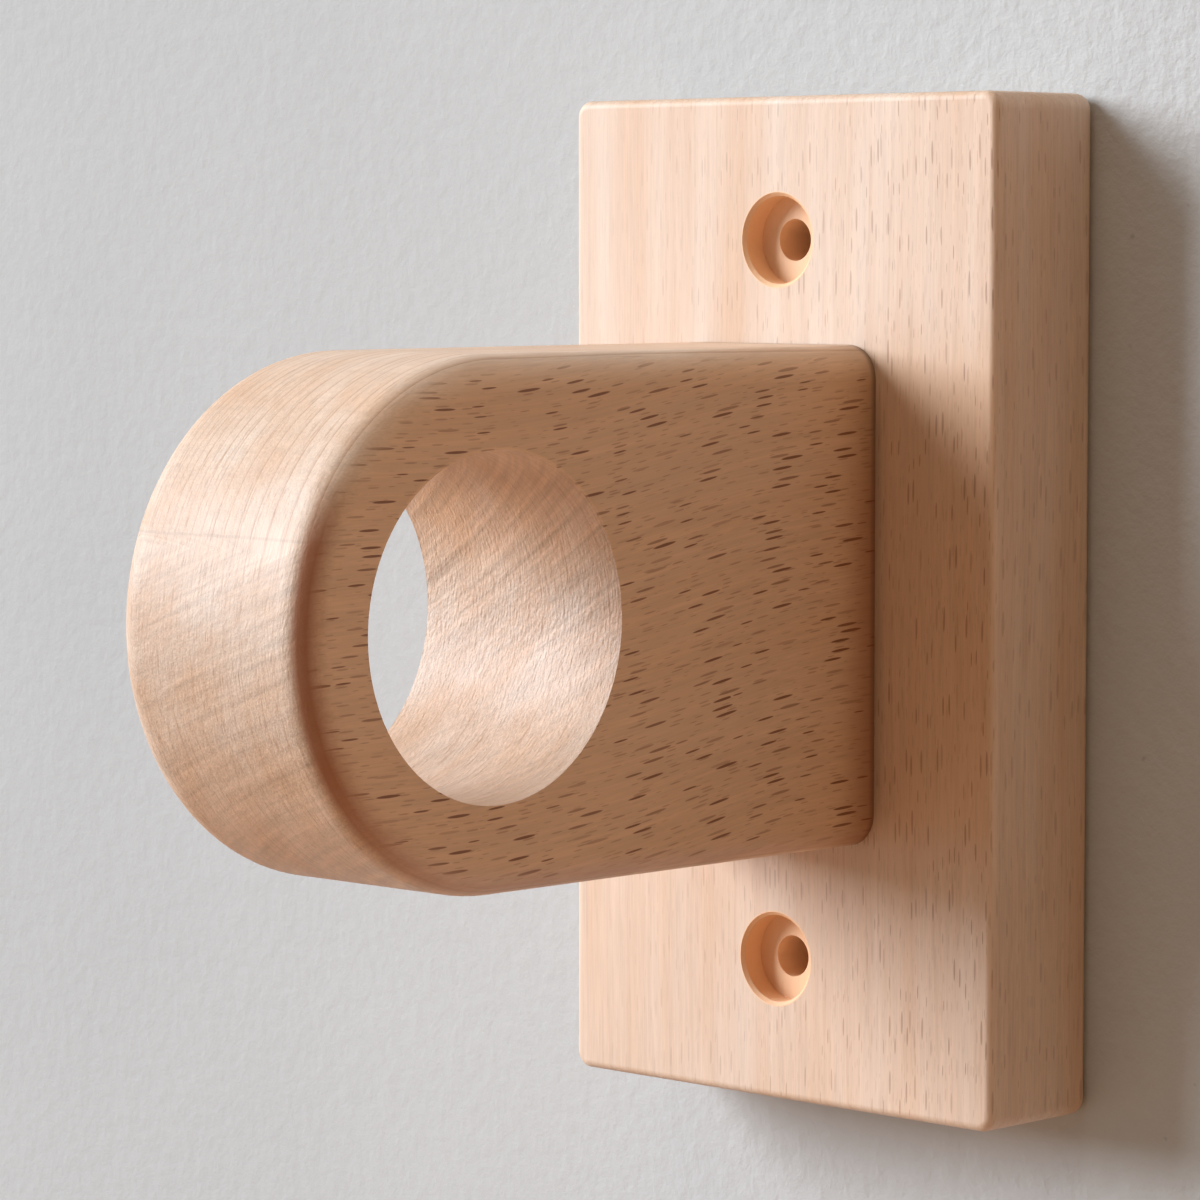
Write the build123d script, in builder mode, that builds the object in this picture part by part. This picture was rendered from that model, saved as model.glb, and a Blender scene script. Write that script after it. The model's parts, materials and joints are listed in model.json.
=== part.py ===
"""Curtain pole bracket in beech: a wall plate, an arm bored for the pole, and the dowels that join them.

Frame: the origin is the centre of the plate's back face, which lies on the wall (y = 0).
The arm stands out towards -Y, the pole runs along X, and +Z is up. Sizes are in millimetres.
"""

import os

from build123d import *

# Wall plate, a board with upright grain
plate_height = 120.0
plate_width = 67.0
plate_thickness = 18.0
plate_corner_radius = 2.0  # rounded corners of the outline
plate_front_ease = 1.0  # sanded edge round the front face
plate_back_ease = 1.5  # sanded edge round the back face

# Wall screw holes, one above the arm and one below it
screw_end_distance = 17.0  # hole centre to the plate's end
screw_clearance_diameter = 5.0
counterbore_diameter = 10.5
counterbore_depth = 3.2
counterbore_rim_ease = 0.4  # chamfer on the rim

# Arm, a block with its grain running out from the wall
arm_height = 59.0
arm_thickness = 31.0
arm_rise = 1.25  # arm's middle above the plate's middle
arm_roundover = 4.0

# Pole and its bore
pole_diameter = 35.0
pole_play = 1.75  # room for the pole, on the radius
pole_axis_out = 62.0  # plate front to the pole's axis
nose_wall = 9.0  # wood left between the bore and the tip of the nose

# Dowels in the joint between arm and plate
dowel_diameter = 10.0
dowel_spacing = 30.0
dowel_in_arm = 24.0
dowel_cover = 5.0  # wood left behind the dowel holes in the plate
dowel_fit = 0.05  # room for glue, on the radius
dowel_end_gap = 1.0  # room for glue at each end of a dowel
dowel_lead = 1.0  # chamfer on the dowel's ends
flute_count = 12
flute_depth = 0.5

# Sizes that follow
screw_spacing = plate_height - 2 * screw_end_distance
bore_radius = pole_diameter / 2 + pole_play
nose_radius = arm_height / 2
arm_length = pole_axis_out + bore_radius + nose_wall
dowel_radius = dowel_diameter / 2
dowel_hole_radius = dowel_radius + dowel_fit
plate_dowel_hole_depth = plate_thickness - dowel_cover
arm_dowel_hole_depth = dowel_in_arm + dowel_end_gap
dowel_in_plate = plate_dowel_hole_depth - dowel_end_gap
dowel_length = dowel_in_plate + dowel_in_arm

# Places along Y
plate_front_y = -plate_thickness
pole_axis_y = plate_front_y - pole_axis_out
nose_tip_y = plate_front_y - arm_length
nose_centre_y = nose_tip_y + nose_radius

# The front plane looks out from the wall; local x runs along X and local y runs along Z
front_plane = Plane.XZ.offset(plate_thickness)
# The same plane with its origin at the middle of the arm's joint end
joint_plane = front_plane.shift_origin((0, plate_front_y, arm_rise))
# The arm's side outline; local x runs along Y and local y runs along Z
side_plane = Plane.YZ.shift_origin((0, 0, arm_rise))


with BuildPart() as wall_plate:
    with BuildSketch(Plane.XZ):
        RectangleRounded(plate_width, plate_height, plate_corner_radius)
    extrude(amount=plate_thickness)
    back_face = wall_plate.faces().sort_by(Axis.Y)[-1]
    fillet(back_face.edges(), plate_back_ease)
    front_face = wall_plate.faces().sort_by(Axis.Y)[0]
    fillet(front_face.edges(), plate_front_ease)

    # counterbored holes for the wall screws, with their rims eased
    with Locations(front_plane):
        with GridLocations(0, screw_spacing, 1, 2):
            CounterBoreHole(screw_clearance_diameter / 2, counterbore_diameter / 2, counterbore_depth)
    front_face = wall_plate.faces().sort_by(Axis.Y)[0]
    chamfer(front_face.inner_wires().edges(), counterbore_rim_ease)

    # blind dowel holes behind the arm
    with Locations(joint_plane):
        with GridLocations(0, dowel_spacing, 1, 2):
            Hole(dowel_hole_radius, plate_dowel_hole_depth)


with BuildPart() as pole_arm:
    # side outline: square at the plate, half round at the nose
    with BuildSketch(side_plane):
        with BuildLine():
            top_edge = Line((plate_front_y, nose_radius), (nose_centre_y, nose_radius))
            nose = ThreePointArc(top_edge @ 1, (nose_tip_y, 0), (nose_centre_y, -nose_radius))
            bottom_edge = Line(nose @ 1, (plate_front_y, -nose_radius))
            Line(bottom_edge @ 1, top_edge @ 0)
        make_face()
    extrude(amount=arm_thickness / 2, both=True)

    # the roundover follows both sides of the outline and leaves the joint end square
    joint_face = pole_arm.faces().sort_by(Axis.Y)[-1]
    outline_edges = pole_arm.faces().filter_by(Axis.X).edges() - joint_face.edges()
    fillet(outline_edges, arm_roundover)

    # bore for the pole, with crisp edges
    with Locations(side_plane * Location((pole_axis_y, 0))):
        Hole(bore_radius)

    # blind dowel holes in the joint end
    with Locations(-joint_plane):
        with GridLocations(0, dowel_spacing, 1, 2):
            Hole(dowel_hole_radius, arm_dowel_hole_depth)


with BuildPart() as dowels:
    with BuildSketch(joint_plane.offset(-dowel_in_plate)):
        with GridLocations(0, dowel_spacing, 1, 2):
            Circle(dowel_radius)
    extrude(amount=dowel_length)
    chamfer(dowels.edges().filter_by(GeomType.CIRCLE), dowel_lead)

    # V-shaped flutes along each dowel let the glue spread
    with BuildSketch(joint_plane.offset(-dowel_in_plate)):
        with GridLocations(0, dowel_spacing, 1, 2):
            with PolarLocations(dowel_radius, flute_count):
                RegularPolygon(flute_depth, 4)
    extrude(amount=dowel_length, mode=Mode.SUBTRACT)


wall_plate.part.label = "wall_plate"
pole_arm.part.label = "pole_arm"
dowels.part.label = "dowels"

os.makedirs("parts", exist_ok=True)
export_step(wall_plate.part, "parts/wall_plate.step")
export_step(pole_arm.part, "parts/pole_arm.step")
export_step(dowels.part, "parts/dowels.step")
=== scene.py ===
"""Curtain pole bracket in sanded beech on a plastered wall, laid out as a Blender add-on.

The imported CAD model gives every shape. This file gives the beech of each piece, the stage, the
light and the camera. Frame: the wall is the plane y = 0, the arm stands out towards -Y, the pole
runs along X and +Z is up. Objects are in metres; wood patterns are worked out in millimetres.
"""
import json
import math

import bpy
from bpy.props import FloatProperty, FloatVectorProperty, PointerProperty
from mathutils import Matrix, Vector


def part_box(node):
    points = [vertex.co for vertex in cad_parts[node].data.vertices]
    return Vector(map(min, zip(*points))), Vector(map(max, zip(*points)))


bl_info = {
    "name": "Curtain Pole Bracket",
    "version": (1, 0, 0),
    "blender": (4, 5, 0),
    "location": "View3D > Sidebar > Bracket",
    "description": "Dresses a beech curtain pole bracket and sets it on a wall",
    "category": "Object",
}

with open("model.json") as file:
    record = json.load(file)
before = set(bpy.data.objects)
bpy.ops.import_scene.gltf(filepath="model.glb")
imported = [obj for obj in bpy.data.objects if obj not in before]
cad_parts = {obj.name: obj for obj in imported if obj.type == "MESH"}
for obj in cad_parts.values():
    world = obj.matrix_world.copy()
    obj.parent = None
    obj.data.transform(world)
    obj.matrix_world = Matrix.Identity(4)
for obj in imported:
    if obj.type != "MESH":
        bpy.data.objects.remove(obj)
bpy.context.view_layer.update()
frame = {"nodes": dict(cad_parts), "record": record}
plate_low, plate_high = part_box("wall_plate")
arm_low, arm_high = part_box("pole_arm")
mounts = {mount["name"]: mount for mount in frame["record"]["mounts"]}
pole_bore, screw_holes = mounts["pole_bore"], mounts["screw_holes"]

MM_PER_M = 1000.0
X_AXIS, Y_AXIS, Z_AXIS = (1.0, 0.0, 0.0), (0.0, 1.0, 0.0), (0.0, 0.0, 1.0)

# Places that the wood's figure is laid out from, in millimetres
JOINT_Y = arm_high.y * MM_PER_M
ARM_SIDE_X = arm_high.x * MM_PER_M
ARM_HALF_HEIGHT = (arm_high.z - arm_low.z) / 2 * MM_PER_M
BORE_Y = pole_bore["pos_m"][1] * MM_PER_M
BORE_Z = pole_bore["pos_m"][2] * MM_PER_M
BORE_RADIUS = pole_bore["dims"]["r_mm"]
SCREW_Z = screw_holes["dims"]["spacing_y_mm"] / 2
SCREW_RADIUS = screw_holes["dims"]["hole_r_mm"]
COUNTERBORE_RADIUS = 5.25
COUNTERBORE_DEPTH = 3.2
RIM_REACH = 0.6  # from the counterbore's wall to outside its eased rim
FIGURE_X = 30.0  # the plate's figure changes from this far to -X to this far to +X
RAY_LINE_Z = 11.4  # the line across the nose
PITH = 20.0  # from the middle of the tree to the arm's

# Streaks of the wood in millimetres: along the grain, across it and through the rings
TONE_STREAK = (90.0, 7.0, 7.0)
STRAND = (24.0, 0.9, 0.9)
RAY_BAND = (6.0, 0.8, 26.0)
CUT_END_NAP = (3.0, 0.9, 0.38)
FIBRE_LENGTH = 9.0
PORE_WIDTH = 3.0
PORE_FIBRES = 1.4  # thickness of a pore, in fibres
PLATE_SKEW = math.radians(33.0)  # turn of the plate's rings from its front
STREAK_LOW, STREAK_HIGH = 0.3, 0.7  # most of a streak's values lie between these

# How the wood's parts show
RING_SHARPNESS = 12.0  # a higher power makes a thinner line
SPECKLE, END_SPECKLE = 0.06, 0.14  # on sanded faces and on cut ends
LIFT, END_LIFT = 0.16, 0.5  # how proud the nap stands, on the same
END_SHADE = 0.87  # of cut ends, against sanded faces
NAP_HEIGHT = 0.00016  # metres
GLOSS_SWING = 0.08  # either way from the set roughness
SPINDLE_CORE, SPINDLE_SCATTER = 0.76, 0.9  # solid part of a ray, and how far rays stray
FAINT_LONG, FAINT_WIDE, FAINT_SHARE = 0.55, 0.6, 0.4  # faint rays, against strong ones
FAINT_SHIFT = (37.0, 19.0, 0.0)

# The stage, in metres unless it says otherwise
WALL_REACH = 1.5
WALL_INSET = 0.0016  # the wall runs in under the plate's eased back edge
WALL_GAP = 0.0001  # from the plate's back to the wall
HOLE_SIDES = 24
FLOOR_REACH = 6.0
GLOW_RISE = 0.001  # the floor's glow above the floor
SENSOR_MM = 36.0
CLOUD_MM, GRIT_MM, PIT_MM, FLOOR_CLOUD_MM = 90.0, 2.6, 2.0, 150.0
GRIT_HEIGHT = 0.0008
ROOM_FOCUS, ROOM_STRENGTH = 3.0, 0.39  # plain numbers

# The kinds of node that come up most
MATH = "ShaderNodeMath"
VECTOR = "ShaderNodeVectorMath"
RANGE = "ShaderNodeMapRange"
MIX = "ShaderNodeMix"


def linear(hex_colour):
    """Linear RGB of an sRGB hex colour."""
    parts = [int(hex_colour[i:i + 2], 16) / 255 for i in (1, 3, 5)]
    return tuple(p / 12.92 if p <= 0.04045 else ((p + 0.055) / 1.055) ** 2.4 for p in parts)


def opaque(colour):
    """RGBA of an RGB colour, for a colour socket."""
    return (*colour, 1.0)


def colour(name, description, hex_colour):
    """A colour setting."""
    return FloatVectorProperty(
        name=name, description=description, default=linear(hex_colour),
        subtype="COLOR", size=3, min=0, max=1,
    )


def length(name, description, millimetres):
    """A length setting, given in millimetres and kept in metres."""
    return FloatProperty(
        name=name, description=description, default=millimetres / MM_PER_M,
        unit="LENGTH", subtype="DISTANCE", min=0,
    )


def angle(name, description, degrees):
    """An angle setting, given in degrees and kept in radians."""
    return FloatProperty(
        name=name, description=description, default=math.radians(degrees),
        unit="ROTATION", subtype="ANGLE",
    )


def share(name, description, value):
    """A setting between nothing and everything."""
    return FloatProperty(
        name=name, description=description, default=value, subtype="FACTOR", min=0, max=1,
    )


class BeechSettings(bpy.types.PropertyGroup):
    """Colours and grain sizes of the bracket's beech"""

    pale: colour("Pale wood", "Lightest tone of the sanded beech", "#D9C3B0")
    warm: colour("Warm wood", "Deeper tone that drifts through the beech", "#D1AF93")
    ring: colour("Ring line", "Thin dense line that closes each year's growth", "#A97F60")
    ray: colour("Ray fleck", "Rays cut across on the face of the board", "#74421F")
    # The deeper tone: partly the sides' own tone, partly painted shade on the arm's shaded sides,
    # towards its underside and in the arm's shadow on the plate
    face: colour("Face grain", "Deeper tone of the arm's sides and beside them", "#CAA17B")
    pore: colour("Pore", "Fine vessels that hold a little shadow", "#B28A6A")
    # the bit's tint: partly the fresh cut's own tone, partly painted warm bounce light in the screw
    # holes and the top of the bore
    bored_and_bounce: colour("Bored wood", "Screw holes and top of the bore, left by the bit", "#F0C296")
    # painted shade, in a dark brown: the band on the nose's roundover and the corner by the plate
    painted_shade_brown: colour("Burnished wood", "Roundover of the nose, rubbed by the cutter", "#945225")
    roughness: share("Roughness", "Sanded and oiled wood, satin", 0.54)
    ring_spacing: length("Ring spacing", "One year's growth", 1.9)
    fibre_width: length("Fibre width", "Bundles of fibres, drawn coarser than they are", 0.22)
    arm_ray_length: length("Arm ray length", "Longest spindle of a ray on the arm's sides", 4.2)
    arm_ray_width: length("Arm ray width", "Widest part of such a spindle", 0.39)
    plate_ray_length: length("Plate ray length", "Longest spindle on the plate's front", 3.4)
    plate_ray_width: length("Plate ray width", "Widest part of such a spindle", 0.3)


class StageSettings(bpy.types.PropertyGroup):
    """The wall, the floor, the light and the camera"""

    wall: colour("Wall", "Painted plaster", "#B8BABA")
    floor: colour("Floor", "Plain pale floor", "#B3ADA4")
    floor_drop: length("Floor drop", "Floor below the bracket's middle", 400.0)
    azimuth: angle("Camera azimuth", "Round from straight in front, towards +X", 44.097)
    elevation: angle("Camera elevation", "Above the horizon", 4.275)
    distance: length("Camera distance", "Camera to the point it looks at", 559.9)
    aim_out: length("Aim out", "Point that the camera looks at, out from the wall", 40.0)
    aim_left: length("Aim left", "The same point, left of the bracket's middle in the view", 5.73)
    aim_up: length("Aim up", "The same point, above the bracket's middle in the view", 1.33)
    lens: FloatProperty(
        name="Lens", description="Focal length on a 36 mm sensor", default=144.73,
        subtype="DISTANCE_CAMERA", min=1,
    )


def node(tree, kind, inputs=None, **settings):
    """Adds a node with its settings and links.

    A node given as an input stands for its first output in use.
    """
    made = tree.nodes.new(kind)
    for name, value in settings.items():
        setattr(made, name, value)
    for key, value in (inputs or {}).items():
        if isinstance(value, bpy.types.Node):
            value = next(socket for socket in value.outputs if socket.enabled)
        if isinstance(value, bpy.types.NodeSocket):
            tree.links.new(value, made.inputs[key])
        else:
            made.inputs[key].default_value = value
    return made


def new_material(name):
    """An empty node material and its node tree."""
    material = bpy.data.materials.new(name)
    material.use_nodes = True
    material.node_tree.nodes.clear()
    return material, material.node_tree


def settle(obj, material):
    """Puts the material in all of the object's slots."""
    if not obj.material_slots:
        obj.data.materials.append(material)
    for slot in obj.material_slots:
        slot.material = material


def place(tree):
    """The point on the piece, in millimetres, and the way that its surface faces."""
    at = node(tree, "ShaderNodeTexCoord")
    in_mm = node(tree, VECTOR, {0: at.outputs["Object"], "Scale": MM_PER_M}, operation="SCALE")
    return in_mm, at.outputs["Normal"]


def square_to(tree, faces, axis):
    """How squarely the surface faces along an axis, either way: 1 square to it, 0 edge on."""
    toward = node(tree, VECTOR, {0: faces, 1: axis}, operation="DOT_PRODUCT")
    return node(tree, MATH, {0: toward, 1: toward}, operation="MULTIPLY")


def streaks(tree, grain, size, detail=2.0, rough=0.55):
    """Streaks of size = (along the grain, across it, through the rings), in millimetres."""
    stretch = tuple(1 / s for s in size)
    stretched = node(tree, VECTOR, {0: grain, 1: stretch}, operation="MULTIPLY")
    return node(tree, "ShaderNodeTexNoise", {
        "Vector": stretched, "Scale": 1.0, "Detail": detail, "Roughness": rough,
    })


def wander(tree, point, spacing, reach):
    """The point, pushed about smoothly by up to reach, so no line of the grain is straight."""
    drift = streaks(tree, point, (spacing, spacing, spacing), detail=1.0, rough=0.4)
    middle = node(tree, VECTOR, {
        0: drift.outputs["Color"], 1: (0.5, 0.5, 0.5),
    }, operation="SUBTRACT")
    push = node(tree, VECTOR, {0: middle, "Scale": 2 * reach}, operation="SCALE")
    return node(tree, VECTOR, {0: point, 1: push}, operation="ADD")


def spindles(tree, grain, long, wide, room, least):
    """Pointed flecks along the grain, one to a cell, at most long by wide millimetres.

    room is a cell's size over the largest fleck's, and least the smallest fleck's over it.
    """
    stretch = (1 / (long * room), 1 / (wide * room), 1.0)
    stretched = node(tree, VECTOR, {0: grain, 1: stretch}, operation="MULTIPLY")
    cells = node(tree, "ShaderNodeTexVoronoi", {
        "Vector": stretched, "Scale": 1.0, "Randomness": SPINDLE_SCATTER,
    }, voronoi_dimensions="2D", feature="F1", distance="EUCLIDEAN")
    chance = node(tree, "ShaderNodeSeparateColor", {"Color": cells.outputs["Color"]})
    reach = node(tree, RANGE, {
        "Value": chance.outputs["Red"], "To Min": least / (2 * room), "To Max": 1 / (2 * room),
    })
    edge = node(tree, MATH, {0: reach, 1: SPINDLE_CORE}, operation="MULTIPLY")
    body = node(tree, RANGE, {
        "Value": cells.outputs["Distance"], "From Min": reach, "From Max": edge,
    }, interpolation_type="SMOOTHSTEP")
    depth = node(tree, RANGE, {
        "Value": chance.outputs["Green"], "From Min": 0.1, "From Max": 0.65,
        "To Min": 0.3, "To Max": 1.0,
    })
    return node(tree, MATH, {0: body, 1: depth}, operation="MULTIPLY")


def sanded_beech(name, grain_of, settings, rays, strand_share):
    """Sanded beech with a little oil: pale, even, satin wood with thin year rings.

    Rays show as short dark spindles where a surface is cut along the rings, and as faint bands
    where it is cut across the fibres. The fibres make fine streaks along the grain and a speckle on
    cut ends. grain_of lays out the piece's grain and painted shade and says how much of each shows
    where.
    """
    material, tree = new_material(name)
    wood = grain_of(tree, settings)
    grain = wood["grain"]
    fibre = settings.fibre_width * MM_PER_M

    # the tone drifts along the grain
    drift = streaks(tree, grain, TONE_STREAK, detail=3.0)
    tone = node(tree, RANGE, {"Value": drift, "From Min": 0.32, "From Max": 0.68})
    paint = node(tree, MIX, {
        "Factor": tone, "A": opaque(settings.pale), "B": opaque(settings.warm),
    }, data_type="RGBA")

    # each year's growth ends in a thin line, and pores follow the rings as hairlines
    year = node(tree, MATH, {0: wood["rings"]}, operation="FRACT")
    line = node(tree, MATH, {0: year, 1: RING_SHARPNESS}, operation="POWER")
    ringed = node(tree, MATH, {0: line, 1: wood["ring_share"]}, operation="MULTIPLY")
    hairs = streaks(tree, grain, (FIBRE_LENGTH, PORE_WIDTH, PORE_FIBRES * fibre), detail=1.0)
    porous = node(tree, RANGE, {
        "Value": hairs, "From Min": 0.56, "From Max": 0.8, "To Max": wood["hairs"],
    })
    # first the deeper tone, which is partly painted shade where grain_of puts it
    for mask, tint in (
        (wood["face"], settings.face), (ringed, settings.ring), (porous, settings.pore),
    ):
        paint = node(tree, MIX, {"Factor": mask, "A": paint, "B": opaque(tint)}, data_type="RGBA")

    # fibres make fine streaks and a speckle on cut ends, strands make wider streaks,
    # and rays cross cut ends as bands
    fibres = streaks(tree, grain, (FIBRE_LENGTH, fibre, fibre), rough=0.6)
    strands = streaks(tree, grain, STRAND)
    bands = streaks(tree, grain, RAY_BAND, detail=3.0, rough=0.6)
    shade = 1.0
    for pattern, amount in (
        (fibres, wood["speckle"]), (strands, strand_share), (bands, wood["bands"]),
    ):
        swing = node(tree, RANGE, {
            "Value": pattern, "From Min": STREAK_LOW, "From Max": STREAK_HIGH, "To Min": -1.0,
        })
        shade = node(tree, MATH, {0: swing, 1: amount, 2: shade}, operation="MULTIPLY_ADD")
    # cut ends drink more oil and go darker
    oiled = node(tree, RANGE, {"Value": wood["end"], "To Min": 1.0, "To Max": END_SHADE})
    for part in (oiled, wood["shade"]):
        shade = node(tree, MATH, {0: shade, 1: part}, operation="MULTIPLY")
    paint = node(tree, VECTOR, {0: paint, "Scale": shade}, operation="SCALE")

    # rays cut across are dark spindles, some strong and many faint; over them go the tints that
    # grain_of gives, the bit's cuts and painted shade
    long, wide = rays["long"] * MM_PER_M, rays["wide"] * MM_PER_M
    strong = spindles(tree, grain, long, wide, rays["room"], rays["least"])
    moved = node(tree, VECTOR, {0: grain, 1: FAINT_SHIFT}, operation="ADD")
    faint = spindles(tree, moved, FAINT_LONG * long, FAINT_WIDE * wide, room=2.0, least=0.3)
    weak = node(tree, MATH, {0: faint, 1: FAINT_SHARE}, operation="MULTIPLY")
    both = node(tree, MATH, {0: strong, 1: weak}, operation="MAXIMUM")
    flecks = node(tree, MATH, {0: both, 1: wood["flecks"]}, operation="MULTIPLY")
    for mask, tint in ((flecks, settings.ray), *wood["worked_and_shade"]):
        paint = node(tree, MIX, {"Factor": mask, "A": paint, "B": opaque(tint)}, data_type="RGBA")

    # sanding leaves the fibres a little proud; cut ends stay rough, drawn coarser than they are
    ends_nap = streaks(tree, grain, CUT_END_NAP)
    nap = node(tree, MIX, {"Factor": wood["end"], "A": fibres, "B": ends_nap}, data_type="FLOAT")
    bump = node(tree, "ShaderNodeBump", {
        "Height": nap, "Strength": wood["lift"], "Distance": NAP_HEIGHT,
    })
    gloss = node(tree, RANGE, {
        "Value": fibres, "From Min": 0.2, "From Max": 0.8,
        "To Min": settings.roughness - GLOSS_SWING, "To Max": settings.roughness + GLOSS_SWING,
    })
    surface = node(tree, "ShaderNodeBsdfPrincipled", {
        "Base Color": paint, "Roughness": gloss, "Normal": bump,
        "IOR": 1.5, "Specular IOR Level": 0.55,
    })
    node(tree, "ShaderNodeOutputMaterial", {"Surface": surface})
    return material


def screw_hole_walls(tree, at, sideways, height):
    """Mask of the screw holes and their rims: near their axes and clear of the plate's back."""
    from_hole = node(tree, MATH, {0: height, 1: SCREW_Z}, operation="SUBTRACT")
    off_axis = node(tree, "ShaderNodeCombineXYZ", {"X": sideways, "Y": from_hole})
    radius = node(tree, VECTOR, {0: off_axis}, operation="LENGTH")
    seat = JOINT_Y + COUNTERBORE_DEPTH
    wall = node(tree, RANGE, {
        "Value": at.outputs["Y"], "From Min": seat, "From Max": seat + 0.3,
        "To Min": COUNTERBORE_RADIUS + RIM_REACH, "To Max": SCREW_RADIUS + 0.3,
    })
    past_wall = node(tree, MATH, {0: radius, 1: wall}, operation="SUBTRACT")
    within = node(tree, RANGE, {
        "Value": past_wall, "From Min": -0.2, "From Max": 0.0, "To Min": 0.8, "To Max": 0.0,
    })
    off_back = node(tree, RANGE, {"Value": at.outputs["Y"], "From Min": -0.4, "From Max": -1.2})
    return node(tree, MATH, {0: within, 1: off_back}, operation="MULTIPLY")


def painted_shadow_beside_arm(tree, at, height, side, behind):
    """Share of painted shadow, in the deeper tone, on the plate's front beside the arm on the +X
    side, where the arm's shadow falls.
    """
    past_arm = node(tree, RANGE, {
        "Value": at.outputs["X"], "From Min": ARM_SIDE_X - 6.0, "From Max": ARM_SIDE_X + 2.0,
    }, interpolation_type="SMOOTHSTEP")
    level = node(tree, RANGE, {
        "Value": height, "From Min": 37.0, "From Max": 23.0,
    }, interpolation_type="SMOOTHSTEP")
    off_side = node(tree, RANGE, {"Value": side, "To Min": 0.68, "To Max": 0.0})
    beside = node(tree, MATH, {0: past_arm, 1: level}, operation="MULTIPLY")
    shadowed = node(tree, MATH, {0: beside, 1: off_side}, operation="MULTIPLY")
    return node(tree, MATH, {0: shadowed, 1: behind}, operation="SUBTRACT", use_clamp=True)


def painted_contact_shade(tree, sideways, height, behind):
    """Painted contact shade: a soft dark edge on the plate's front along the arm's sides, in the
    corner where shade falls.
    """
    past_side = node(tree, MATH, {0: sideways, 1: ARM_SIDE_X}, operation="SUBTRACT")
    shade_edge = node(tree, RANGE, {
        "Value": past_side, "From Min": -0.5, "From Max": 1.8, "To Min": 0.35, "To Max": 0.0,
    })
    beside_arm = node(tree, RANGE, {
        "Value": height, "From Min": ARM_HALF_HEIGHT - 3.0, "From Max": ARM_HALF_HEIGHT - 9.0,
    })
    in_front = node(tree, MATH, {0: beside_arm, 1: behind}, operation="SUBTRACT", use_clamp=True)
    return node(tree, MATH, {0: shade_edge, 1: in_front}, operation="MULTIPLY")


def plate_grain(tree, settings):
    """Upright grain; the rings run askew, so both the front and the sides show rays."""
    point, faces = place(tree)
    loose = wander(tree, point, spacing=60.0, reach=1.2)
    across = (math.cos(PLATE_SKEW), math.sin(PLATE_SKEW), 0.0)
    through = (-math.sin(PLATE_SKEW), math.cos(PLATE_SKEW), 0.0)
    along, beside, deep = [
        node(tree, VECTOR, {0: loose, 1: way}, operation="DOT_PRODUCT")
        for way in (Z_AXIS, across, through)
    ]
    at = node(tree, "ShaderNodeSeparateXYZ", {0: point})
    sideways = node(tree, MATH, {0: at.outputs["X"]}, operation="ABSOLUTE")
    height = node(tree, MATH, {0: at.outputs["Z"]}, operation="ABSOLUTE")
    behind = node(tree, RANGE, {
        "Value": at.outputs["Y"], "From Min": JOINT_Y + 0.3, "From Max": JOINT_Y + 0.9,
    })
    end, side = square_to(tree, faces, Z_AXIS), square_to(tree, faces, X_AXIS)

    # the rays turn towards the front on the +X side; the sides show fewer and the ends none
    turned = node(tree, RANGE, {
        "Value": at.outputs["X"], "From Min": -FIGURE_X, "From Max": FIGURE_X,
        "To Min": 0.06, "To Max": 0.5,
    })
    off_end = node(tree, RANGE, {"Value": end, "From Max": 0.5, "To Min": 1.0, "To Max": 0.0})
    off_side = node(tree, RANGE, {"Value": side, "To Min": 1.0, "To Max": 0.5})
    on_front = node(tree, MATH, {0: off_end, 1: off_side}, operation="MULTIPLY")

    contact_shade = painted_contact_shade(tree, sideways, height, behind)
    return {
        "grain": node(tree, "ShaderNodeCombineXYZ", {"X": along, "Y": beside, "Z": deep}),
        "rings": node(tree, MATH, {
            0: deep, 1: settings.ring_spacing * MM_PER_M,
        }, operation="DIVIDE"),
        "ring_share": node(tree, RANGE, {"Value": end, "To Min": 0.12, "To Max": 0.45}),
        "end": end,
        "speckle": node(tree, RANGE, {"Value": end, "To Min": SPECKLE, "To Max": END_SPECKLE}),
        "hairs": node(tree, RANGE, {
            "Value": at.outputs["X"], "From Min": -FIGURE_X, "From Max": FIGURE_X,
            "To Min": 0.1, "To Max": 0.28,
        }),
        "bands": 0.02,
        "flecks": node(tree, MATH, {0: turned, 1: on_front}, operation="MULTIPLY"),
        # painted shadow of the arm on the plate's front
        "face": painted_shadow_beside_arm(tree, at, height, side, behind),
        "worked_and_shade": [(screw_hole_walls(tree, at, sideways, height), settings.bored_and_bounce)],
        "lift": node(tree, RANGE, {"Value": end, "To Min": LIFT, "To Max": END_LIFT}),
        "shade": node(tree, MATH, {0: 1.0, 1: contact_shade}, operation="SUBTRACT"),
    }


def bore_wall(tree, point):
    """Mask of the bore's wall."""
    from_axis = node(tree, VECTOR, {0: point, 1: (0.0, BORE_Y, BORE_Z)}, operation="SUBTRACT")
    flat = node(tree, VECTOR, {0: from_axis, 1: (0.0, 1.0, 1.0)}, operation="MULTIPLY")
    radius = node(tree, VECTOR, {0: flat}, operation="LENGTH")
    return node(tree, RANGE, {
        "Value": radius, "From Min": BORE_RADIUS + 0.1, "From Max": BORE_RADIUS + 0.4,
        "To Min": 1.0, "To Max": 0.0,
    })


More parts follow.
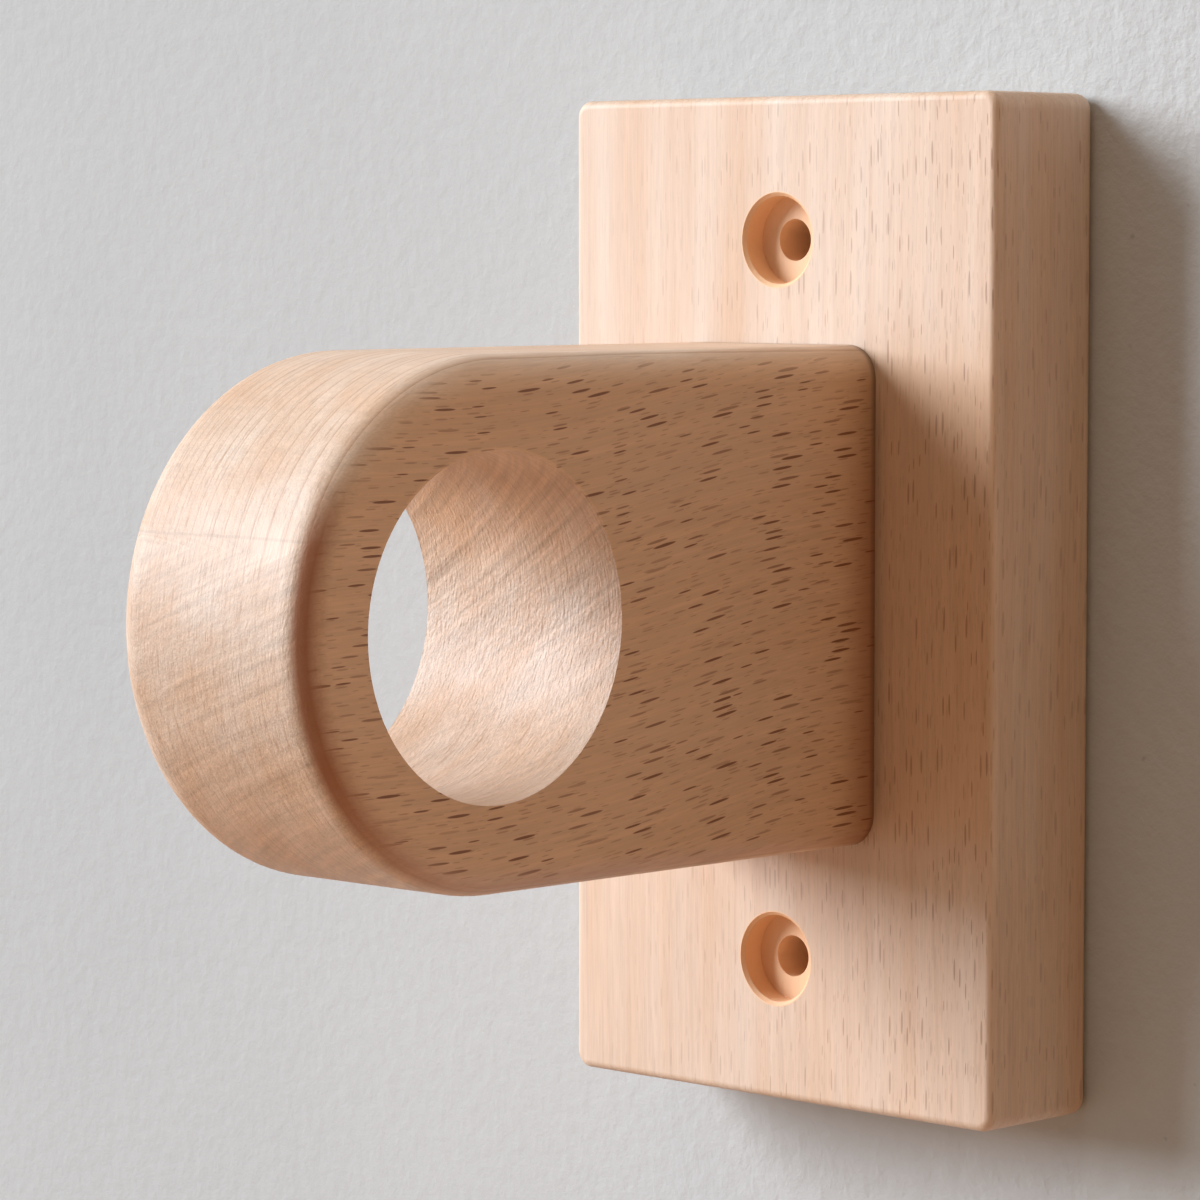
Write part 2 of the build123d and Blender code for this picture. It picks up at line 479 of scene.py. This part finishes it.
def arm_fibres(tree, at, side, lower, in_bore):
    """How far along the arm's grain, across it and through the rings a point lies."""
    # the grain is level at the nose, climbs behind the bore and levels out again at the plate
    climb = node(tree, RANGE, {
        "Value": at.outputs["Y"], "From Min": BORE_Y - 8.0, "From Max": JOINT_Y + 6.0,
        "To Max": 8.0,
    }, interpolation_type="SMOOTHSTEP")
    level = node(tree, MATH, {0: at.outputs["Z"], 1: climb}, operation="SUBTRACT")

    # rays lie level across the upper nose; below it and in the bore they tilt
    turned = node(tree, MATH, {0: lower, 1: in_bore}, operation="MAXIMUM")
    off_side = node(tree, MATH, {0: 1.0, 1: side}, operation="SUBTRACT")
    askew = node(tree, MATH, {0: turned, 1: off_side}, operation="MULTIPLY")
    steep = node(tree, RANGE, {"Value": in_bore, "To Min": 0.36, "To Max": 0.58})
    slope = node(tree, MATH, {0: askew, 1: steep}, operation="MULTIPLY")
    inward = node(tree, MATH, {0: at.outputs["X"], 1: ARM_SIDE_X}, operation="SUBTRACT")
    tilt = node(tree, MATH, {0: inward, 1: slope}, operation="MULTIPLY")
    across = node(tree, MATH, {0: level, 1: tilt}, operation="SUBTRACT")
    return node(tree, "ShaderNodeCombineXYZ", {
        "X": at.outputs["Y"], "Y": across, "Z": at.outputs["X"],
    })


def arm_rings(tree, at, side, lower, in_bore, spacing):
    """The arm's rings, counted out from the middle of the tree, and how strongly they show.

    The tree grew slowly at first, so the rings are close together on the -X side and open out
    towards +X.
    """
    from_pith = node(tree, MATH, {0: at.outputs["X"], 1: PITH}, operation="ADD")
    years = node(tree, MATH, {0: from_pith, 1: math.e}, operation="LOGARITHM")
    # the bit left its own lines between the rings, so the bore shows twice as many
    per_year = PITH / spacing
    lines = node(tree, RANGE, {"Value": in_bore, "To Min": per_year, "To Max": 2 * per_year})
    rings = node(tree, MATH, {0: years, 1: lines}, operation="MULTIPLY")

    # they fade on the sides, on the lower nose and low in the bore
    off_side = node(tree, RANGE, {
        "Value": side, "From Min": 0.3, "From Max": 0.9, "To Min": 0.75, "To Max": 0.0,
    })
    on_nose = node(tree, RANGE, {"Value": lower, "To Min": 1.0, "To Max": 0.45})
    on_bore = node(tree, RANGE, {
        "Value": at.outputs["Z"], "From Min": -10.0, "From Max": 8.0,
        "To Min": 0.2, "To Max": 0.85,
    })
    shown = node(tree, RANGE, {"Value": in_bore, "To Min": on_nose, "To Max": on_bore})
    return rings, node(tree, MATH, {0: off_side, 1: shown}, operation="MULTIPLY")


def arm_bands(tree, at, side, lower, in_bore):
    """How strongly rays show as bands: least on the upper nose, most in the upper bore."""
    on_nose = node(tree, RANGE, {"Value": lower, "To Min": 0.03, "To Max": 0.14})
    on_bore = node(tree, RANGE, {
        "Value": at.outputs["Z"], "From Min": -8.0, "From Max": 6.0,
        "To Min": 0.08, "To Max": 0.25,
    })
    banded = node(tree, RANGE, {"Value": in_bore, "To Min": on_nose, "To Max": on_bore})
    off_side = node(tree, RANGE, {"Value": side, "To Min": 1.0, "To Max": 0.3})
    return node(tree, MATH, {0: banded, 1: off_side}, operation="MULTIPLY")


def arm_tone_and_shade(tree, at, side, in_bore):
    """Share of the deeper tone: partly the sides' own tone and partly painted shade on them, and
    outside the bore painted shade towards the underside.
    """
    on_side = node(tree, RANGE, {"Value": side, "From Min": 0.35, "To Max": 0.85})
    low = node(tree, RANGE, {
        "Value": at.outputs["Z"], "From Min": 2.0, "From Max": -22.0, "To Max": 0.4,
    })
    underside = node(tree, MATH, {0: low, 1: in_bore}, operation="SUBTRACT", use_clamp=True)
    return node(tree, MATH, {0: on_side, 1: underside}, operation="MAXIMUM")


def painted_roundover_shade(tree, at, faces):
    """Mask of painted shade: the dark band on the roundover on the +X side, from the ray line down.
    """
    sideways = node(tree, VECTOR, {0: faces, 1: X_AXIS}, operation="DOT_PRODUCT")
    leaves_front = node(tree, RANGE, {"Value": sideways, "From Min": 0.28, "From Max": 0.55})
    meets_side = node(tree, RANGE, {
        "Value": sideways, "From Min": 0.72, "From Max": 0.985, "To Min": 1.0, "To Max": 0.0,
    })
    on_roundover = node(tree, MATH, {0: leaves_front, 1: meets_side}, operation="MULTIPLY")
    below = node(tree, RANGE, {
        "Value": at.outputs["Z"], "From Min": 18.0, "From Max": 11.0, "To Max": 0.85,
    })
    above = node(tree, RANGE, {
        "Value": at.outputs["Z"], "From Min": -29.0, "From Max": -14.0, "To Min": 0.35,
    })
    kept = node(tree, MATH, {0: below, 1: above}, operation="MULTIPLY")
    return node(tree, MATH, {0: on_roundover, 1: kept}, operation="MULTIPLY")


def ray_line(tree, at):
    """One ray that shows as a thin dark line across the nose."""
    off = node(tree, MATH, {0: at.outputs["Z"], 1: RAY_LINE_Z}, operation="SUBTRACT")
    distance = node(tree, MATH, {0: off}, operation="ABSOLUTE")
    thin = node(tree, RANGE, {
        "Value": distance, "From Min": 0.08, "From Max": 0.22, "To Min": 0.14, "To Max": 0.0,
    })
    on_nose = node(tree, RANGE, {
        "Value": at.outputs["Y"], "From Min": BORE_Y - 20.0, "From Max": BORE_Y - 14.0,
        "To Min": 1.0, "To Max": 0.0,
    })
    return node(tree, MATH, {0: thin, 1: on_nose}, operation="MULTIPLY")


def joint_shade(tree, at, point):
    """Shade by the plate: glue darkens the last of the arm, and painted shade darkens it deeper in
    the corner there.
    """
    exact = node(tree, "ShaderNodeSeparateXYZ", {0: point})
    glue = node(tree, RANGE, {
        "Value": exact.outputs["Y"], "From Min": JOINT_Y - 1.1, "From Max": JOINT_Y - 0.1,
        "To Min": 1.0, "To Max": 0.5,
    }, interpolation_type="SMOOTHSTEP")
    painted_corner_shade = node(tree, RANGE, {
        "Value": at.outputs["Y"], "From Min": JOINT_Y - 8.0, "From Max": JOINT_Y,
        "To Min": 1.0, "To Max": 0.8,
    }, interpolation_type="SMOOTHSTEP")
    return node(tree, MATH, {0: glue, 1: painted_corner_shade}, operation="MULTIPLY")


def painted_joint_shade(tree, at, side):
    """Mask of painted shade in the corner by the plate, on the arm's sides and below its top."""
    by_plate = node(tree, RANGE, {
        "Value": at.outputs["Y"], "From Min": JOINT_Y - 7.0, "From Max": JOINT_Y, "To Max": 0.4,
    }, interpolation_type="SMOOTHSTEP")
    off_top = node(tree, RANGE, {"Value": at.outputs["Z"], "From Min": 24.0, "From Max": 12.0})
    shaded_by_plate = node(tree, MATH, {0: by_plate, 1: off_top}, operation="MULTIPLY")
    return node(tree, MATH, {0: shaded_by_plate, 1: side}, operation="MULTIPLY")


def arm_grain(tree, settings):
    """Grain out along the arm, rising a little towards the plate, with the rings upright."""
    point, faces = place(tree)
    at = node(tree, "ShaderNodeSeparateXYZ", {0: wander(tree, point, spacing=45.0, reach=1.0)})
    # a side is cut along the rings, and an end across the fibres
    side, end = square_to(tree, faces, X_AXIS), square_to(tree, faces, Y_AXIS)
    in_bore = bore_wall(tree, point)
    # the nose from the ray line down
    lower = node(tree, RANGE, {"Value": at.outputs["Z"], "From Min": 12.5, "From Max": 10.0})
    rings, ring_share = arm_rings(
        tree, at, side, lower, in_bore, settings.ring_spacing * MM_PER_M
    )

    # cut fibres speckle the nose more towards its underside
    freckled = node(tree, RANGE, {
        "Value": at.outputs["Z"], "From Min": 5.0, "From Max": -15.0,
        "To Min": END_SPECKLE, "To Max": 0.24,
    })
    # the top of the bore takes the bit's tint, as painted warm bounce light
    overhead = node(tree, RANGE, {
        "Value": at.outputs["Z"], "From Min": 4.0, "From Max": 18.0, "To Max": 0.35,
    })
    bored_and_bounce = node(tree, MATH, {0: in_bore, 1: overhead}, operation="MULTIPLY")
    sanded = node(tree, RANGE, {"Value": end, "To Min": LIFT, "To Max": END_LIFT})
    return {
        "grain": arm_fibres(tree, at, side, lower, in_bore),
        "rings": rings,
        "ring_share": ring_share,
        "end": end,
        "speckle": node(tree, RANGE, {"Value": end, "To Min": SPECKLE, "To Max": freckled}),
        "hairs": node(tree, RANGE, {"Value": side, "To Min": 0.7, "To Max": 0.1}),
        "bands": arm_bands(tree, at, side, lower, in_bore),
        "flecks": node(tree, RANGE, {
            "Value": side, "From Min": 0.4, "To Min": 0.03, "To Max": 0.95,
        }),
        "face": arm_tone_and_shade(tree, at, side, in_bore),
        "worked_and_shade": [
            (painted_roundover_shade(tree, at, faces), settings.painted_shade_brown),
            (painted_joint_shade(tree, at, side), settings.painted_shade_brown),
            (bored_and_bounce, settings.bored_and_bounce),
        ],
        "lift": node(tree, MATH, {0: sanded, 1: in_bore}, operation="MAXIMUM"),
        "shade": node(tree, MATH, {
            0: joint_shade(tree, at, point), 1: ray_line(tree, at),
        }, operation="SUBTRACT"),
    }


def dowel_grain(tree, settings):
    """Straight grain along the dowel, with the rings across it."""
    point, faces = place(tree)
    at = node(tree, "ShaderNodeSeparateXYZ", {0: wander(tree, point, spacing=40.0, reach=0.5)})
    return {
        "grain": node(tree, "ShaderNodeCombineXYZ", {
            "X": at.outputs["Y"], "Y": at.outputs["Z"], "Z": at.outputs["X"],
        }),
        "rings": node(tree, MATH, {
            0: at.outputs["X"], 1: settings.ring_spacing * MM_PER_M,
        }, operation="DIVIDE"),
        "ring_share": 0.4,
        "end": square_to(tree, faces, Y_AXIS),
        "speckle": SPECKLE,
        "hairs": 0.5,
        "bands": 0.03,
        "flecks": 0.3,
        "face": 0.0,
        "worked_and_shade": [],
        "lift": 0.2,
        "shade": 1.0,
    }


class BRACKET_OT_wall_plate(bpy.types.Operator):
    """Gives the wall plate its beech, with upright grain"""

    bl_idname = "bracket.wall_plate"
    bl_label = "Wall plate"

    def execute(self, context):
        beech = context.scene.bracket_beech
        rays = {
            "long": beech.plate_ray_length, "wide": beech.plate_ray_width,
            "room": 2.3, "least": 0.3,
        }
        wood = sanded_beech("beech_plate_sanded", plate_grain, beech, rays, strand_share=0.03)
        settle(frame["nodes"]["wall_plate"], wood)
        return {"FINISHED"}


class BRACKET_OT_pole_arm(bpy.types.Operator):
    """Gives the arm its beech, with grain running out from the wall"""

    bl_idname = "bracket.pole_arm"
    bl_label = "Pole arm"

    def execute(self, context):
        beech = context.scene.bracket_beech
        rays = {
            "long": beech.arm_ray_length, "wide": beech.arm_ray_width,
            "room": 2.5, "least": 0.45,
        }
        wood = sanded_beech("beech_arm_sanded", arm_grain, beech, rays, strand_share=0.05)
        settle(frame["nodes"]["pole_arm"], wood)
        return {"FINISHED"}


class BRACKET_OT_dowels(bpy.types.Operator):
    """Gives the hidden dowels their bare beech"""

    bl_idname = "bracket.dowels"
    bl_label = "Dowels"

    def execute(self, context):
        beech = context.scene.bracket_beech
        rays = {
            "long": beech.plate_ray_length, "wide": beech.plate_ray_width,
            "room": 2.4, "least": 0.4,
        }
        wood = sanded_beech("beech_dowel_turned", dowel_grain, beech, rays, strand_share=0.05)
        settle(frame["nodes"]["dowels"], wood)
        return {"FINISHED"}


def painted_plaster(settings):
    """Painted plaster: matt, near white and trowelled a little uneven. Only its front is solid."""
    material, tree = new_material("painted_plaster")
    point, _ = place(tree)
    across = node(tree, "ShaderNodeSeparateXYZ", {0: point}).outputs["X"]
    clouds = streaks(tree, point, (CLOUD_MM, CLOUD_MM, CLOUD_MM), detail=3.0)
    grit = streaks(tree, point, (GRIT_MM, GRIT_MM, GRIT_MM), detail=4.0, rough=0.6)
    specks = streaks(tree, point, (PIT_MM, PIT_MM, PIT_MM), detail=0.0)

    # the paint is cloudy and gritty and pitted towards +X; painted shade darkens it towards -X
    cloudy = node(tree, RANGE, {
        "Value": clouds, "From Min": STREAK_LOW, "From Max": STREAK_HIGH,
        "To Min": 0.97, "To Max": 1.03,
    })
    gritty = node(tree, RANGE, {
        "Value": grit, "From Min": STREAK_LOW, "From Max": STREAK_HIGH,
        "To Min": 0.985, "To Max": 1.015,
    })
    painted_shade_left = node(tree, RANGE, {
        "Value": across, "From Min": -150.0, "From Max": 60.0, "To Min": 0.94, "To Max": 1.06,
    })
    pits = node(tree, RANGE, {"Value": specks, "From Min": 0.8, "From Max": 0.86, "To Max": 0.4})
    patch = node(tree, RANGE, {"Value": across, "From Min": 30.0, "From Max": 50.0})
    pitted = node(tree, MATH, {0: pits, 1: patch}, operation="MULTIPLY")
    smooth = node(tree, MATH, {0: 1.0, 1: pitted}, operation="SUBTRACT")
    shade = cloudy
    for part in (gritty, painted_shade_left, smooth):
        shade = node(tree, MATH, {0: shade, 1: part}, operation="MULTIPLY")
    paint = node(tree, VECTOR, {0: settings.wall, "Scale": shade}, operation="SCALE")

    # it is rougher towards +X
    rough = node(tree, RANGE, {
        "Value": across, "From Min": -60.0, "From Max": 60.0, "To Min": 0.2, "To Max": 0.45,
    })
    bump = node(tree, "ShaderNodeBump", {
        "Height": grit, "Strength": rough, "Distance": GRIT_HEIGHT,
    })
    front = node(tree, "ShaderNodeBsdfPrincipled", {
        "Base Color": paint, "Roughness": 0.9, "Normal": bump,
    })
    back = node(tree, "ShaderNodeBsdfTransparent")
    way = node(tree, "ShaderNodeNewGeometry")
    one_sided = node(tree, "ShaderNodeMixShader", {0: way.outputs["Backfacing"], 1: front, 2: back})
    node(tree, "ShaderNodeOutputMaterial", {"Surface": one_sided})
    return material


def painted_screed(settings):
    """Painted screed, far below: one pale tone with faint clouds."""
    material, tree = new_material("painted_screed")
    point, _ = place(tree)
    clouds = streaks(tree, point, (FLOOR_CLOUD_MM, FLOOR_CLOUD_MM, FLOOR_CLOUD_MM))
    shade = node(tree, RANGE, {"Value": clouds, "To Min": 0.97, "To Max": 1.03})
    paint = node(tree, VECTOR, {0: settings.floor, "Scale": shade}, operation="SCALE")
    surface = node(tree, "ShaderNodeBsdfPrincipled", {"Base Color": paint, "Roughness": 0.8})
    node(tree, "ShaderNodeOutputMaterial", {"Surface": surface})
    return material


def mesh_object(name, corners, faces):
    """A mesh object from its corners and faces, linked to the scene."""
    mesh = bpy.data.meshes.new(name)
    mesh.from_pydata(corners, [], faces)
    made = bpy.data.objects.new(name, mesh)
    bpy.context.scene.collection.objects.link(made)
    return made


def rectangle(left, right, low, high):
    """The corners of a rectangle, in order."""
    return [(left, low), (right, low), (right, high), (left, high)]


def make_wall(stage):
    """The wall: open behind the plate, so its back is lit too, but closed behind its holes."""
    outline = rectangle(-WALL_REACH, WALL_REACH, -WALL_REACH, WALL_REACH)
    outline += rectangle(
        plate_low.x + WALL_INSET, plate_high.x - WALL_INSET,
        plate_low.z + WALL_INSET, plate_high.z - WALL_INSET,
    )
    faces = [(i, (i + 1) % 4, (i + 1) % 4 + 4, i + 4) for i in range(4)]
    hole = SCREW_RADIUS / MM_PER_M
    turns = [math.tau * i / HOLE_SIDES for i in range(HOLE_SIDES)]
    for z in (-SCREW_Z / MM_PER_M, SCREW_Z / MM_PER_M):
        faces.append(tuple(range(len(outline), len(outline) + HOLE_SIDES)))
        outline += [(hole * math.cos(turn), z + hole * math.sin(turn)) for turn in turns]
    wall = mesh_object("wall", [(x, WALL_GAP, z) for x, z in outline], faces)
    settle(wall, painted_plaster(stage))
    return wall


def make_floor(stage):
    """The floor, which throws no light of its own; the floor's glow stands in for that."""
    corners = rectangle(-FLOOR_REACH, FLOOR_REACH, -FLOOR_REACH, FLOOR_REACH)
    floor = mesh_object("floor", [(x, y, -stage.floor_drop) for x, y in corners], [(0, 1, 2, 3)])
    settle(floor, painted_screed(stage))
    floor.visible_diffuse = False
    return floor


def soft_light(name, place_at, aim, width, height, watts, tint):
    """A rectangular area light at a place, turned towards a point."""
    data = bpy.data.lights.new(name, "AREA")
    data.shape = "RECTANGLE"
    data.size, data.size_y = width, height
    data.energy = watts
    data.color = linear(tint)
    made = bpy.data.objects.new(name, data)
    bpy.context.scene.collection.objects.link(made)
    made.location = place_at
    made.rotation_euler = (aim - place_at).to_track_quat("-Z", "Y").to_euler()
    return made


def from_angles(azimuth, elevation, reach):
    """The vector that goes round from straight in front towards +X and then up, in degrees."""
    turn, rise = math.radians(azimuth), math.radians(elevation)
    level = reach * math.cos(rise)
    return Vector((level * math.sin(turn), -level * math.cos(turn), reach * math.sin(rise)))


def make_lights(stage):
    """A window to the left, warm light off the wall on the right and the floor, and fill."""
    middle = Vector((0.0, -0.05, 0.0))
    soft_light(
        "window", middle + from_angles(-52.5, 20.5, 6.0), middle,
        width=3.4, height=3.4, watts=638.0, tint="#F3F8FF",
    )
    beside = Vector((0.32, -0.002, 0.0))
    wall_glow = soft_light(
        "wall_glow", beside, beside + from_angles(0.0, 0.0, 1.0),
        width=0.4, height=0.5, watts=0.25, tint="#FFBC7C",
    )
    soft_light(
        "lamp", middle + from_angles(70.0, 5.0, 1.3), middle,
        width=0.8, height=0.5, watts=1.25, tint="#FFC486",
    )
    soft_light(
        "ceiling", middle + from_angles(30.0, 78.0, 1.3), middle,
        width=0.8, height=0.8, watts=5.4, tint="#FFE6C8",
    )
    below = Vector((0.0, -1.0, -stage.floor_drop + GLOW_RISE))
    floor_glow = soft_light(
        "floor_glow", below, below + from_angles(0.0, 90.0, 1.0),
        width=2.0, height=2.0, watts=5.6, tint="#FFB56C",
    )
    soft_light(
        "behind", Vector((-0.7, 1.4, 0.8)), middle,
        width=1.2, height=1.2, watts=25.0, tint="#FFFFFF",
    )
    for glow in (wall_glow, floor_glow):
        glow.visible_camera = False


def make_room(scene):
    """The room's own light, brightest on the window's side."""
    world = bpy.data.worlds.new("room")
    world.use_nodes = True
    tree = world.node_tree
    tree.nodes.clear()
    away = node(tree, "ShaderNodeTexCoord").outputs["Generated"]
    window_side = from_angles(-40.0, 5.0, 1.0)
    toward = node(tree, VECTOR, {0: away, 1: window_side}, operation="DOT_PRODUCT")
    half = node(tree, RANGE, {"Value": toward, "From Min": -1.0})
    glow = node(tree, MATH, {0: half, 1: ROOM_FOCUS}, operation="POWER")
    strength = node(tree, MATH, {0: glow, 1: ROOM_STRENGTH}, operation="MULTIPLY")
    sky = node(tree, "ShaderNodeBackground", {
        "Color": opaque(linear("#EFFAFF")), "Strength": strength,
    })
    node(tree, "ShaderNodeOutputWorld", {"Surface": sky})
    scene.world = world


def make_camera(scene, stage):
    """The camera, round to the right and looking a little down."""
    az, el = stage.azimuth, stage.elevation
    ahead = Vector((-math.sin(az) * math.cos(el), math.cos(az) * math.cos(el), -math.sin(el)))
    right = Vector((math.cos(az), math.sin(az), 0.0))
    up = right.cross(ahead)
    aim = Vector((0.0, -stage.aim_out, 0.0)) - right * stage.aim_left + up * stage.aim_up
    lens = bpy.data.cameras.new("camera")
    lens.sensor_width = SENSOR_MM
    lens.lens = stage.lens
    camera = bpy.data.objects.new("camera", lens)
    scene.collection.objects.link(camera)
    turn = Matrix((right, up, -ahead)).transposed()
    camera.matrix_world = Matrix.Translation(aim - ahead * stage.distance) @ turn.to_4x4()
    scene.camera = camera


class BRACKET_OT_stage(bpy.types.Operator):
    """Makes the wall, the floor, the light and the camera"""

    bl_idname = "bracket.stage"
    bl_label = "Stage"

    def execute(self, context):
        scene = context.scene
        stage = scene.bracket_stage
        wall, floor = make_wall(stage), make_floor(stage)
        make_lights(stage)
        make_room(scene)
        scene.view_settings.view_transform = "Standard"
        make_camera(scene, stage)
        return {"FINISHED"}


class BRACKET_PT_panel(bpy.types.Panel):
    """Lists the bracket's pieces and settings"""

    bl_idname = "BRACKET_PT_panel"
    bl_label = "Curtain Pole Bracket"
    bl_space_type = "VIEW_3D"
    bl_region_type = "UI"
    bl_category = "Bracket"

    def draw(self, context):
        layout = self.layout
        for step in STEPS:
            layout.operator(step.bl_idname)
        for group in (context.scene.bracket_beech, context.scene.bracket_stage):
            box = layout.box()
            for name in group.bl_rna.properties.keys():
                if name not in {"rna_type", "name"}:
                    box.prop(group, name)


STEPS = (BRACKET_OT_wall_plate, BRACKET_OT_pole_arm, BRACKET_OT_dowels, BRACKET_OT_stage)
CLASSES = (BeechSettings, StageSettings, *STEPS, BRACKET_PT_panel)


def register():
    for cls in CLASSES:
        bpy.utils.register_class(cls)
    bpy.types.Scene.bracket_beech = PointerProperty(type=BeechSettings)
    bpy.types.Scene.bracket_stage = PointerProperty(type=StageSettings)


def unregister():
    del bpy.types.Scene.bracket_stage
    del bpy.types.Scene.bracket_beech
    for cls in reversed(CLASSES):
        bpy.utils.unregister_class(cls)


def main():
    """Makes every piece and the stage in order."""
    register()
    bpy.ops.bracket.wall_plate()
    bpy.ops.bracket.pole_arm()
    bpy.ops.bracket.dowels()
    bpy.ops.bracket.stage()


if __name__ == "__main__":
    main()
